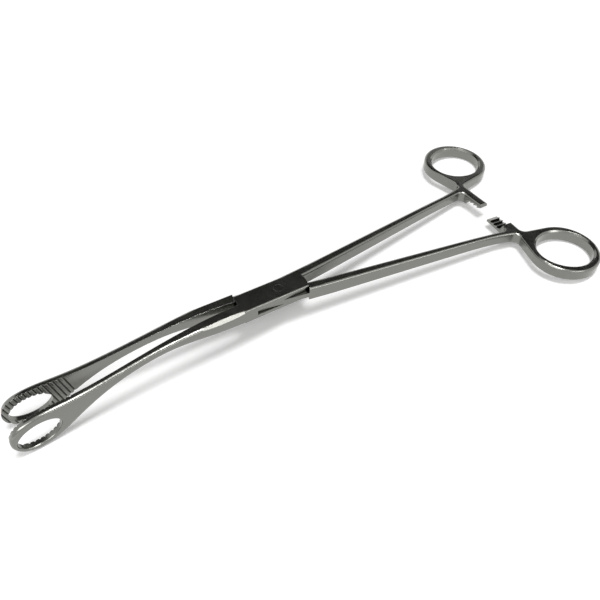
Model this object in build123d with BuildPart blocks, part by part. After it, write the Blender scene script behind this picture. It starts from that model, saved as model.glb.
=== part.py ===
from build123d import *
import os
from math import acos, atan2, cos, degrees, hypot, pi, radians, sin, sqrt

# Sponge holding forceps with a box lock, lying open on a flat surface.
# All sizes are in millimetres. Both halves are drawn closed, lying flat: the pivot is at the
# origin, its axis is Z, the finger rings are towards +X, the jaws towards -X, and the line
# where the two jaws meet is Y = 0. The finished pieces are opened and tilted at the end, so
# that the jaw tips and the ring ends rest on the plane Z = 0.

# How far the halves are open at rest, from jaws closed, both halves together
open_angle = 5.8

# Box lock
lock_half_width = 5.1
lock_half_thick = 3.3
plate_thick = 2.15
slot_clearance = 0.06
jaw_end_radius = 18.2
ring_end_radius = 12.4
shoulder_clearance = 0.25
slot_end_radius = 13.2
tongue_end_clearance = 0.3

# Pivot pin, ground flush with both plates
pin_radius = 1.9
pin_clearance = 0.03

# Gap that each jaw keeps from the line Y = 0 when closed
jaw_gap = 0.15

# Handle: half a shank's plan, from the lock to the neck
shank_inner_at_lock = 0.3
neck_x = 95.0
shank_outer_at_neck = 11.9
neck_end_x = 111.0
neck_outer_end = 14.6
neck_inner_end = 10.3
neck_radius = 3.0
taper_start = 20.0
taper_radius = 300.0
handle_rise = 2.3
level_start = 88.0
ring_half_thick = 2.7

# Finger ring: an oval hole, drawn with four arcs, in a round ring that both flanks run into
ring_x = 122.9
ring_y = 30.8
ring_radius = 15.1
hole_short = 11.4
hole_long = 12.5
hole_end_radius = 10.7
hole_turn = 16.0
hole_chamfer = 0.7
flank_y = 14.0
web_radius = 2.6

# Rounding along the outer edges of both halves
edge_round = 1.2
under_chamfer = 0.8
jaw_round = 1.4
lock_round = 0.9

# Ratchet: one arm on each half, reaching across the line Y = 0
arm_reach = 2.4
arm_x = 110.6
arm_corner_radius = 2.6
plain_arm_width = 4.2
toothed_arm_width = 5.4
arm_clearance = 0.08
tooth_pitch = 2.2
tooth_count = 4
tooth_depth = 0.9

# Jaw: its centre line runs straight, then bends down, then runs straight again
bend_start = 28.4
bend_radius = 120.0
bend_angle = 15.8
jaw_length = 112.7
jaw_thick = 2.8
jaw_waist_thick = 3.2
jaw_waist_at = 50.0

# Half heights of the jaw above and below its centre line, at distances from the pivot
waist_above = 1.9
waist_below = 1.5
throat_at = 72.0
throat_above = 2.7
throat_below = 1.9
cheek_at = 88.0
cheek_above = 4.6
cheek_below = 5.7
loop_at = 103.6
loop_above = 6.6
loop_below = 9.2

# Window in the jaw's loop
window_at = 102.4
window_drop = 1.75
window_long = 8.4
window_high = 5.2
window_turn = 3.2
window_edge = 0.7

# Grip teeth across the inner face of the jaw
groove_pitch = 1.8
groove_depth = 0.5
grip_length = 27.5

# Flat ground along the outer top edge of each jaw's shank, from the lock until the bend
# takes the shank below it
flat_start = 8.0
flat_tilt = 45.0
flat_dive = 5.4

slot_half = lock_half_thick - plate_thick
tongue_half = slot_half - slot_clearance


def jaw_centre(s):
    """Point, direction and turn of the jaw's centre line, s along it from the pivot."""
    turn = min(max((s - bend_start) / bend_radius, 0), radians(bend_angle))
    bend = bend_radius * turn
    straight = s - min(s, bend_start) - bend
    x = -(min(s, bend_start) + bend_radius * sin(turn) + straight * cos(turn))
    z = -(bend_radius * (1 - cos(turn)) + straight * sin(turn))
    return x, z, turn


def on_jaw(s, height):
    """Point in the XZ plane at a height square to the jaw's centre line."""
    x, z, turn = jaw_centre(s)
    return (x - height * sin(turn), z + height * cos(turn))


def handle_middle(x):
    """Height of the middle of the handle's thickness."""
    return handle_rise * min(max((x - taper_start) / (level_start - taper_start), 0), 1)


tip_middle = (loop_above - loop_below) / 2
tip_half = (loop_above + loop_below) / 2
tip_x = on_jaw(jaw_length, 0)[0]
stations = [
    (jaw_end_radius, lock_half_thick, lock_half_thick),
    (jaw_waist_at, waist_above, waist_below),
    (throat_at, throat_above, throat_below),
    (cheek_at, cheek_above, cheek_below),
    (loop_at, loop_above, loop_below),
]
tip_points = [
    on_jaw(loop_at + (jaw_length - loop_at) * cos(radians(a)), tip_middle + tip_half * sin(radians(a)))
    for a in (60, 30, 0, -30, -60)
]
upper_points = [on_jaw(s, above) for s, above, below in stations]
lower_points = [on_jaw(s, -below) for s, above, below in reversed(stations)]

# One jaw with its shank, on the side Y < 0
with BuildPart() as jaw:
    with BuildSketch(Plane.XZ.offset(jaw_gap)):
        with BuildLine():
            outline = Spline(*upper_points, *tip_points, *lower_points, tangents=((-1, 0), (1, 0)))
            Polyline(outline @ 1, (0, -lock_half_thick), (0, lock_half_thick), outline @ 0)
        make_face()
    extrude(amount=2 * lock_half_width)
    with BuildSketch(Plane.XY):
        with BuildLine():
            outside = Spline(
                (-jaw_end_radius, -lock_half_width),
                (-jaw_waist_at, -jaw_waist_thick - jaw_gap),
                (-throat_at, -jaw_thick - jaw_gap),
                (tip_x - jaw_thick, -jaw_thick - jaw_gap),
                tangents=((-1, 0), (-1, 0)),
            )
            Polyline(outside @ 1, (tip_x - jaw_thick, 0), (0, 0), (0, -lock_half_width), outside @ 0)
        make_face()
    extrude(amount=4 * loop_below, both=True, mode=Mode.INTERSECT)
    outer_faces = jaw.faces().filter_by(lambda f: f.normal_at().Y < -0.7)
    rim = outer_faces.edges().filter_by(lambda e: e.center().X < -1 and abs((e @ 0).X - (e @ 1).X) > 1)
    fillet(rim, radius=jaw_round)
    flat_plane = Plane(
        origin=(-flat_start, -lock_half_width, lock_half_thick),
        x_dir=(1, 0, sin(radians(flat_dive))),
        z_dir=Vector(0, -1, 0).rotate(Axis.X, -flat_tilt).rotate(Axis.Y, -flat_dive),
    )
    with BuildSketch(flat_plane):
        Rectangle(2 * jaw_length, 2 * lock_half_width)
    extrude(amount=2 * lock_half_width, mode=Mode.SUBTRACT)
    window_x, window_z = on_jaw(window_at, -window_drop)
    along = radians(bend_angle + window_turn)
    with BuildSketch(
        Plane(origin=(window_x, 0, window_z), x_dir=(-cos(along), 0, -sin(along)), z_dir=(0, -1, 0))
    ):
        Ellipse(window_long, window_high)
    extrude(amount=2 * lock_half_width, mode=Mode.SUBTRACT)
    window_rim = jaw.faces().filter_by(lambda f: f.center().Y < -jaw_thick).edges().filter_by(
        lambda e: e.is_closed
    )
    fillet(window_rim, radius=window_edge)

    # Grip teeth: grooves square to the loop, cut across the inner face
    groove_x, groove_z = on_jaw(jaw_length, 0)
    loop_dir = radians(bend_angle)
    with BuildSketch(
        Plane(
            origin=(groove_x, -jaw_gap, groove_z),
            x_dir=(cos(loop_dir), 0, sin(loop_dir)),
            z_dir=(-sin(loop_dir), 0, cos(loop_dir)),
        )
    ):
        for i in range(int(grip_length / groove_pitch)):
            with Locations((groove_pitch * (i + 0.5), 0)):
                Rectangle(groove_depth * sqrt(2), groove_depth * sqrt(2), rotation=45)
    extrude(amount=2 * loop_below, both=True, mode=Mode.SUBTRACT)


def oval(long_half, short_half, end_radius):
    """Oval of four arcs, its long axis along X."""
    side_radius = ((long_half - end_radius) ** 2 + short_half**2 - end_radius**2) / (
        2 * (short_half - end_radius)
    )
    reach = side_radius / (side_radius - end_radius)
    x = (long_half - end_radius) * reach
    y = short_half - side_radius + (side_radius - short_half) * reach
    with BuildSketch() as plan:
        with BuildLine():
            ThreePointArc((-x, y), (0, short_half), (x, y))
            ThreePointArc((x, y), (long_half, 0), (x, -y))
            ThreePointArc((x, -y), (0, -short_half), (-x, -y))
            ThreePointArc((-x, -y), (-long_half, 0), (-x, y))
        make_face()
    return plan.sketch


def on_ring(x, y, side):
    """Point where a line from (x, y) touches the outside of the finger ring."""
    away = hypot(ring_x - x, ring_y - y)
    turn = atan2(y - ring_y, x - ring_x) + side * acos(ring_radius / away)
    return (ring_x + ring_radius * cos(turn), ring_y + ring_radius * sin(turn))


def handle_blank(arm_width):
    """Shank, neck, finger ring and ratchet arm of one half, on the side Y > 0."""
    arm_left = arm_x - arm_width / 2
    arm_right = arm_x + arm_width / 2
    ring_start = on_ring(neck_end_x, neck_outer_end, -1)
    ring_end = on_ring(arm_right, flank_y, 1)
    with BuildPart() as blank:
        with BuildSketch(Plane.XY.offset(-2 * lock_half_thick)):
            with BuildLine():
                outer = Line((0, lock_half_width), (neck_x, shank_outer_at_neck))
                bend = TangentArc(outer @ 1, (neck_end_x, neck_outer_end), tangent=outer % 1)
                Line(bend @ 1, ring_start)
                far_side = (ring_x + ring_radius * cos(pi / 4), ring_y + ring_radius * sin(pi / 4))
                ThreePointArc(ring_start, far_side, ring_end)
                Polyline(
                    ring_end,
                    (arm_right, flank_y),
                    (arm_right, -arm_reach),
                    (arm_left, -arm_reach),
                    (arm_left, neck_inner_end),
                    (0, shank_inner_at_lock),
                    outer @ 0,
                )
            make_face()
            with Locations(Location((ring_x, ring_y, 0), (0, 0, hole_turn))):
                add(oval(hole_long, hole_short, hole_end_radius), mode=Mode.SUBTRACT)
        extrude(amount=4 * lock_half_thick)
        ring_far = ring_x + 2 * ring_radius
        with BuildSketch(Plane.XZ):
            with BuildLine():
                Polyline(
                    (0, lock_half_thick),
                    (taper_start, lock_half_thick),
                    (level_start, handle_rise + ring_half_thick),
                    (ring_far, handle_rise + ring_half_thick),
                    (ring_far, handle_rise - ring_half_thick),
                    (level_start, handle_rise - ring_half_thick),
                    (taper_start, -lock_half_thick),
                    (0, -lock_half_thick),
                    close=True,
                )
            side = make_face()
            fillet(side.vertices().filter_by_position(Axis.X, 1, neck_x), radius=taper_radius)
        extrude(amount=4 * ring_y, both=True, mode=Mode.INTERSECT)
        for x, y, radius in (
            (neck_end_x, neck_outer_end, neck_radius),
            (arm_right, flank_y, web_radius),
            (arm_left, neck_inner_end, arm_corner_radius),
        ):
            corner = blank.edges().filter_by(Axis.Z).sort_by_distance((x, y, handle_middle(x)))[0]
            fillet(corner, radius=radius)
        chamfer(
            blank.edges().filter_by(
                lambda e: abs((e % 0.5).Z) < 0.5
                and hypot(e.center().X - ring_x, e.center().Y - ring_y) < hole_long + 0.1
            ),
            length=hole_chamfer,
        )

        def outer_rims(side):
            return blank.edges().filter_by(
                lambda e: abs((e % 0.5).Z) < 0.5
                and side * (e.center().Z - handle_middle(e.center().X)) > 1
                and e.center().X > 1
                and (e.center().X > neck_x or abs((e % 0.5).Y) < 0.5)
                and hypot(e.center().X - ring_x, e.center().Y - ring_y) > ring_radius - 0.1
            )

        fillet(outer_rims(1), radius=edge_round)
        chamfer(outer_rims(-1), length=under_chamfer)
    return blank.part


def rack_teeth(arm_width, side):
    """The space between a ratchet arm's teeth and the other arm, teeth down (-1) or up (+1)."""
    meet = handle_middle(arm_x) - side * arm_clearance / 2
    points = [(-2 * arm_reach, meet + side * lock_half_thick), (-2 * arm_reach, meet)]
    for i in range(tooth_count):
        y = -arm_reach + tooth_pitch * i
        points += [(y, meet - side * tooth_depth), (y + tooth_pitch, meet)]
    root = -arm_reach + tooth_pitch * tooth_count
    points += [(root, meet - side * tooth_depth), (root + tooth_depth, meet + side * lock_half_thick)]
    with BuildPart() as space:
        with BuildSketch(Plane.YZ.offset(arm_x - arm_width)):
            Polygon(*points, align=None)
        extrude(amount=2 * arm_width)
    return space.part


def lock_ground(left, right):
    """Plan of the lock about the pivot, two half discs of different size."""
    with BuildSketch() as ground:
        with BuildLine():
            ThreePointArc((0, left), (-left, 0), (0, -left))
            Line((0, -left), (0, -right))
            ThreePointArc((0, -right), (right, 0), (0, right))
            Line((0, right), (0, left))
        make_face()
    return ground.sketch


plain_handle = handle_blank(plain_arm_width)
toothed_handle = handle_blank(toothed_arm_width)
plates_plan = lock_ground(jaw_end_radius, ring_end_radius)
cleared_plan = lock_ground(jaw_end_radius + shoulder_clearance, ring_end_radius + shoulder_clearance)
long_way = 4 * jaw_end_radius

# Half with the box: the two plates of the lock, the far handle and the near jaw
with BuildPart() as female_half:
    with BuildSketch(Plane.XY.offset(-lock_half_thick)):
        add(plates_plan)
        Rectangle(long_way, 2 * lock_half_width, mode=Mode.INTERSECT)
    extrude(amount=2 * lock_half_thick)
    fillet(female_half.edges().filter_by(Axis.X), radius=lock_round)
    add(plain_handle)
    add(jaw.part)
    add(rack_teeth(plain_arm_width, -1), mode=Mode.SUBTRACT)
    with BuildSketch(Plane.XY.offset(-slot_half)):
        Circle(slot_end_radius)
        with Locations((-long_way / 2, long_way / 2), (long_way / 2, -long_way / 2)):
            Rectangle(long_way, long_way)
        Rectangle(2 * jaw_end_radius, long_way, mode=Mode.INTERSECT)
    extrude(amount=2 * slot_half, mode=Mode.SUBTRACT)
    Cylinder(pin_radius, 4 * lock_half_thick, mode=Mode.SUBTRACT)

# Half that passes through the box: the tongue, the near handle and the far jaw
with BuildPart() as male_half:
    add(mirror(toothed_handle, about=Plane.XZ))
    add(mirror(jaw.part, about=Plane.XZ))
    add(mirror(rack_teeth(toothed_arm_width, 1), about=Plane.XZ), mode=Mode.SUBTRACT)
    with BuildSketch(Plane.XY.offset(tongue_half)):
        add(cleared_plan)
    extrude(amount=2 * lock_half_thick, mode=Mode.SUBTRACT)
    with BuildSketch(Plane.XY.offset(-tongue_half)):
        add(cleared_plan)
    extrude(amount=-2 * lock_half_thick, mode=Mode.SUBTRACT)
    with BuildSketch(Plane.XY.offset(-tongue_half)):
        Circle(slot_end_radius - tongue_end_clearance)
        Rectangle(long_way, 2 * lock_half_width, mode=Mode.INTERSECT)
    extrude(amount=2 * tongue_half)
    Cylinder(pin_radius + pin_clearance, 4 * lock_half_thick, mode=Mode.SUBTRACT)

with BuildPart() as pivot_pin:
    Cylinder(pin_radius, 2 * lock_half_thick)

female_half.part.label = "female_half"
male_half.part.label = "male_half"
pivot_pin.part.label = "pivot_pin"

# Open the halves, then lean the whole on its jaw tips and ring ends
pieces = [female_half.part, male_half.part, pivot_pin.part]
female_half.part.move(Rot(0, 0, open_angle / 2))
male_half.part.move(Rot(0, 0, -open_angle / 2))
half_open = radians(open_angle / 2)
ring_low_x = ring_x * cos(half_open) - ring_y * sin(half_open) + ring_radius - under_chamfer
ring_low_z = handle_rise - ring_half_thick
lean = 0.0
for _ in range(4):
    tip_low = min(
        (outline @ (i / 200) for i in range(201)),
        key=lambda p: p.Y * cos(radians(lean)) - p.X * sin(radians(lean)),
    )
    lean = degrees(atan2(ring_low_z - tip_low.Y, ring_low_x - tip_low.X * cos(half_open)))
for piece in pieces:
    piece.move(Rot(0, lean, 0))
box = Compound(pieces).bounding_box()
for piece in pieces:
    piece.move(Pos(-box.center().X, -box.center().Y, -box.min.Z))

os.makedirs("parts", exist_ok=True)
export_step(female_half.part, "parts/female_half.step")
export_step(male_half.part, "parts/male_half.step")
export_step(pivot_pin.part, "parts/pivot_pin.step")
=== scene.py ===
# %% [markdown]
# # Sponge holding forceps: the looks
# These forceps are three pieces of stainless steel: two forged halves that pass through each
# other in a box lock, and the pin that they turn on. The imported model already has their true
# shapes, so this script gives them the finish of the real instrument, and adds the table, the
# light and the camera.

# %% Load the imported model
import math
import bpy
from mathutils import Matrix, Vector

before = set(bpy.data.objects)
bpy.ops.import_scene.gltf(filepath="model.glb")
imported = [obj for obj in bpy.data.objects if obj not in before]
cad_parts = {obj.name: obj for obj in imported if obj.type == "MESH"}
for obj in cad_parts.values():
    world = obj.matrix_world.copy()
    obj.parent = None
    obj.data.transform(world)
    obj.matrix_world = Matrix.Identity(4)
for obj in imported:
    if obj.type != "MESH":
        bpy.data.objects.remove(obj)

scene = bpy.context.scene
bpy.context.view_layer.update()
MM = 0.001

# %% [markdown]
# ## Colours and nodes
# A picker shows sRGB hex values, while Blender's shaders count in linear light. One function
# turns the first into the second. A second one adds a shader node, sets its values and joins
# its inputs, so that a material reads as a short list of steps. A third picks out the rays that
# show the white background: those from the camera, and those that metal or glass sends on, so
# that the steel mirrors the same background that the picture shows.

# %% A colour from its hex value
def colour(hex_value):
    """Linear colour with alpha from sRGB hex, such as "c8c6c2"."""
    parts = [int(hex_value[i:i + 2], 16) / 255 for i in (0, 2, 4)]
    linear = [p / 12.92 if p <= 0.04045 else ((p + 0.055) / 1.055) ** 2.4 for p in parts]
    return (*linear, 1.0)


# %% A node with its settings and links
def add_node(tree, kind, settings=None, links=None):
    """Adds a node. Settings go to its properties or to its inputs, links to its inputs."""
    node = tree.nodes.new("ShaderNode" + kind)
    for name, value in (settings or {}).items():
        if isinstance(name, str) and hasattr(node, name):
            setattr(node, name, value)
        else:
            node.inputs[name].default_value = value
    for name, socket in (links or {}).items():
        tree.links.new(socket, node.inputs[name])
    return node


# %% A new material
def new_material(name):
    """An empty node material and its output node."""
    material = bpy.data.materials.new(name)
    material.use_nodes = True
    material.node_tree.nodes.clear()
    return material, material.node_tree, add_node(material.node_tree, "OutputMaterial")


# %% The rays that show the background
def background_rays(tree):
    """1 for the camera's rays and for reflected and transmitted ones, 0 for all others."""
    ray = add_node(tree, "LightPath")
    mirrored = add_node(
        tree, "Math", {"operation": "MAXIMUM"},
        {0: ray.outputs["Is Camera Ray"], 1: ray.outputs["Is Glossy Ray"]},
    )
    through = add_node(
        tree, "Math", {"operation": "MAXIMUM"},
        {0: mirrored.outputs[0], 1: ray.outputs["Is Transmission Ray"]},
    )
    return through.outputs[0]


# %% [markdown]
# ## Satin polished stainless steel
# The halves are forged from hard, magnetic stainless steel, ground on belts along their length
# and then tumbled and mopped to a satin polish. The eye reads this in four ways: a dark, neutral
# grey mirror, fine lines along the length that stretch each highlight, slow waves left by the
# hand at the belt, which bend the reflected edges, and edges broken by the mop, each with a thin
# line of light. Narrow corners, such as the lock's slot, get painted shade: the steel's colour is
# darkened there, the less open sky they see.
# The ground lines would be 0.02 mm apart on the real one, too fine to show, so they are drawn
# 0.25 mm apart.

# %% Sizes of the steel's marks
LINE_SPACING = 0.25 * MM
LINE_STRETCH = 40
WAVE_LENGTH = 14 * MM
WAVE_STRETCH = 3
SMUDGE_SIZE = 9 * MM
EDGE_BREAK = 0.2 * MM
# Reach and colour of the painted shade that darkens the narrow corners
SHADE_REACH = 1.6 * MM
PAINTED_SHADE_COLOUR = "1c1c1a"
# Share of open sky above a point at which the painted shade is full, and at which it is gone
SHADE_FULL, SHADE_GONE = 0.4, 0.9
# Part of the smudge noise over which the steel goes from shiny to dull
SMUDGE_FROM, SMUDGE_TO = 0.35, 0.7
EDGE_SAMPLES = 6
SHADE_SAMPLES = 8
print("lines", LINE_SPACING / MM, "mm apart, waves", WAVE_LENGTH / MM, "mm long")


# %% The steel's shader
def steel(name, base, dull, shiny, line_height, wave_height, edge_break):
    """Ground and polished steel: lines along X, slow waves, smudges, painted shade in the
    corners.
    """
    material, tree, output = new_material(name)
    place = add_node(tree, "TexCoord").outputs["Object"]
    along = add_node(tree, "Mapping", {"Scale": (1 / LINE_STRETCH, 1, 1)}, {"Vector": place})
    lines = add_node(
        tree, "TexNoise",
        {"Scale": 1 / LINE_SPACING, "Detail": 3.0, "Roughness": 0.6},
        {"Vector": along.outputs["Vector"]},
    )
    slow = add_node(tree, "Mapping", {"Scale": (1 / WAVE_STRETCH, 1, 1)}, {"Vector": place})
    waves = add_node(
        tree, "TexNoise",
        {"Scale": 1 / WAVE_LENGTH, "Detail": 1.0, "Roughness": 0.4},
        {"Vector": slow.outputs["Vector"]},
    )
    smudges = add_node(
        tree, "TexNoise",
        {"Scale": 1 / SMUDGE_SIZE, "Detail": 4.0, "Roughness": 0.62, "Distortion": 0.6},
        {"Vector": place},
    )
    gloss = add_node(
        tree, "MapRange",
        {"From Min": SMUDGE_FROM, "From Max": SMUDGE_TO, "To Min": shiny, "To Max": dull},
        {"Value": smudges.outputs["Fac"]},
    )
    broken = add_node(tree, "Bevel", {"samples": EDGE_SAMPLES, "Radius": edge_break})
    fine = add_node(
        tree, "Bump", {"Strength": 1.0, "Distance": line_height},
        {"Height": lines.outputs["Fac"], "Normal": broken.outputs["Normal"]},
    )
    both = add_node(
        tree, "Bump", {"Strength": 1.0, "Distance": wave_height},
        {"Height": waves.outputs["Fac"], "Normal": fine.outputs["Normal"]},
    )
    # Painted shade: the base colour goes dark where a point sees little open sky
    sky = add_node(tree, "AmbientOcclusion", {"samples": SHADE_SAMPLES, "Distance": SHADE_REACH})
    painted_shade = add_node(tree, "ValToRGB", None, {"Fac": sky.outputs["AO"]})
    stops = ((SHADE_FULL, PAINTED_SHADE_COLOUR), (SHADE_GONE, base))
    for element, (position, shade) in zip(painted_shade.color_ramp.elements, stops):
        element.position = position
        element.color = colour(shade)
    metal = add_node(
        tree, "BsdfPrincipled", {"Metallic": 1.0},
        {
            "Base Color": painted_shade.outputs["Color"],
            "Roughness": gloss.outputs["Result"],
            "Normal": both.outputs["Normal"],
        },
    )
    tree.links.new(metal.outputs["BSDF"], output.inputs["Surface"])
    return material


# The halves keep the belt's waves, and their edges are broken
forged_steel = steel(
    "satin_polished_stainless_steel", base="7e7e7a", dull=0.26, shiny=0.17,
    line_height=0.0005 * MM, wave_height=0.05 * MM, edge_break=EDGE_BREAK,
)
# The pin is ground flush with the lock, a little finer and flatter, and its rim stays sharp
pin_steel = steel(
    "ground_flush_steel_pin", base="7c7c78", dull=0.25, shiny=0.16,
    line_height=0.0005 * MM, wave_height=0.01 * MM, edge_break=0.0,
)

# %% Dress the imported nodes
FINISHES = {"female_half": forged_steel, "male_half": forged_steel, "pivot_pin": pin_steel}
for node, material in FINISHES.items():
    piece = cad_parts[node]
    piece.data.materials.clear()
    piece.data.materials.append(material)
    print(node, "gets", material.name, "on", len(piece.data.polygons), "triangles")

# %% [markdown]
# ## The table
# The photograph has a white table that runs out of the frame. A broad sheet stands in for it.
# It is a plain white paint that takes the forceps' shadow. It adds a little of its own light for
# the rays that show the background, so that it shows white without any more light falling on the
# steel. That light grows away from the forceps, so that the table runs into the white backdrop
# without a line at the horizon.

# %% A white table
TABLE_HALF = 1.6
TABLE_DROP = 0.02 * MM
TABLE_GLOW = 0.24
# Distances in metres between which the table's own light grows, and by how much
FADE_FROM, FADE_TO, FADE_GLOW = 0.1, 0.5, 0.8
bpy.ops.object.select_all(action="DESELECT")
bpy.ops.mesh.primitive_plane_add(size=2 * TABLE_HALF, location=(0, 0, -TABLE_DROP))
table = bpy.context.object
table.name = "table"
bpy.ops.object.transform_apply(location=True, rotation=True, scale=True)
white_paint, tree, output = new_material("white_table_paint")
shows = background_rays(tree)
place = add_node(tree, "TexCoord").outputs["Object"]
away = add_node(tree, "VectorMath", {"operation": "LENGTH"}, {0: place}).outputs["Value"]
fade = add_node(
    tree, "MapRange",
    {"From Min": FADE_FROM, "From Max": FADE_TO, "To Min": 0.0, "To Max": FADE_GLOW},
    {"Value": away},
)
glow = add_node(tree, "Math", {"operation": "ADD", 1: TABLE_GLOW}, {0: fade.outputs["Result"]})
strength = add_node(tree, "Math", {"operation": "MULTIPLY"}, {0: glow.outputs[0], 1: shows})
light = add_node(tree, "Emission", {"Color": colour("ffffff")}, {"Strength": strength.outputs[0]})
paint = add_node(tree, "BsdfDiffuse", {"Color": colour("ececec")})
white = add_node(tree, "AddShader", None, {0: paint.outputs[0], 1: light.outputs[0]})
tree.links.new(white.outputs[0], output.inputs["Surface"])
table.data.materials.append(white_paint)
print(table.name, "is", 2 * TABLE_HALF, "m wide")

# %% [markdown]
# ## The light
# Polished steel shows what stands around it. The backdrop is white, also in the steel's
# reflections, so the sides of the handles and rings are a light grey. A grey board stands high
# above the far side, and the flat tops mirror it: that makes them dark. The overhead lamp throws
# the shadows below the shanks. The long low lamp in front lays the white flat on the near jaw's
# shank and the white lines along the rounded edges. The lamp on the left lights the flanks of
# the rings and the jaw tips.

# %% The white backdrop and the dim room
world = bpy.data.worlds.new("white_backdrop")
scene.world = world
world.use_nodes = True
tree = world.node_tree
tree.nodes.clear()
output = add_node(tree, "OutputWorld")
room = add_node(tree, "Background", {"Color": colour("60605e"), "Strength": 1.0})
backdrop = add_node(tree, "Background", {"Color": colour("ffffff"), "Strength": 1.0})
shown = add_node(
    tree, "MixShader", None,
    {0: background_rays(tree), 1: room.outputs[0], 2: backdrop.outputs[0]},
)
tree.links.new(shown.outputs[0], output.inputs["Surface"])
print(world.name, "made")


# %% Places around the lock
def around(azimuth, elevation, distance):
    """Point at angles in degrees seen from the lock; azimuth 0 stands on -Y, 90 on +X."""
    a, e = math.radians(azimuth), math.radians(elevation)
    return Vector((math.sin(a) * math.cos(e), -math.cos(a) * math.cos(e), math.sin(e))) * distance


def face_lock(piece, place):
    """Puts a lamp or a board at a place and turns its -Z side to the lock."""
    piece.location = place
    piece.rotation_euler = (-place).to_track_quat("-Z", "Y").to_euler()


# %% A grey board above the far side
BOARD_WIDTH, BOARD_HEIGHT = 3.8, 1.45
BOARD_PLACE = around(azimuth=150, elevation=50, distance=1.6)
bpy.ops.mesh.primitive_plane_add(size=1.0)
board = bpy.context.object
board.name = "grey_board"
board.scale = (BOARD_WIDTH, BOARD_HEIGHT, 1.0)
face_lock(board, BOARD_PLACE)
matt_grey, tree, output = new_material("matt_grey_board")
face = add_node(tree, "BsdfDiffuse", {"Color": colour("646462")})
tree.links.new(face.outputs[0], output.inputs["Surface"])
board.data.materials.append(matt_grey)
print(board.name, "is", BOARD_WIDTH, "by", BOARD_HEIGHT, "m")


# %% Soft lamps
def soft_lamp(name, place, width, height, power):
    """A rectangular lamp that faces the lock. Sizes in metres, power in watts."""
    lamp = bpy.data.lights.new(name, "AREA")
    lamp.shape = "RECTANGLE"
    lamp.size, lamp.size_y = width, height
    lamp.energy = power
    piece = bpy.data.objects.new(name, lamp)
    face_lock(piece, place)
    scene.collection.objects.link(piece)


soft_lamp("high_lamp", around(25, 84, 2.2), width=0.75, height=0.6, power=31)
soft_lamp("low_strip", around(19, 38, 2.0), width=1.35, height=0.32, power=6.5)
soft_lamp("left_lamp", around(-66, 46, 2.0), width=1.2, height=0.6, power=12)
print(len(bpy.data.lights), "lamps and a board stand around the forceps")

# %% [markdown]
# ## The camera
# The place, turn and lens were found by matching the model's outlines to the photograph's. The
# camera looks down at the lock from in front, over the jaws' end, so the jaws look larger than
# the rings.

# %% The camera
CAMERA_PLACE = Vector((-83.81, -159.18, 206.12)) * MM
CAMERA_TURN_DEG = (42.206, 2.831, -29.871)
view = bpy.data.cameras.new("photo_camera")
view.lens = 38.76
view.sensor_width = 36.0
view.shift_x = 0.0045
view.shift_y = -0.0123
view.clip_start = 0.01
camera = bpy.data.objects.new("photo_camera", view)
camera.location = CAMERA_PLACE
camera.rotation_euler = [math.radians(turn) for turn in CAMERA_TURN_DEG]
scene.collection.objects.link(camera)
scene.camera = camera
scene.view_settings.view_transform = "Standard"
print(camera.name, "stands", round(CAMERA_PLACE.length / MM), "mm from the origin")

# %% Update the scene, and the end
bpy.context.view_layer.update()
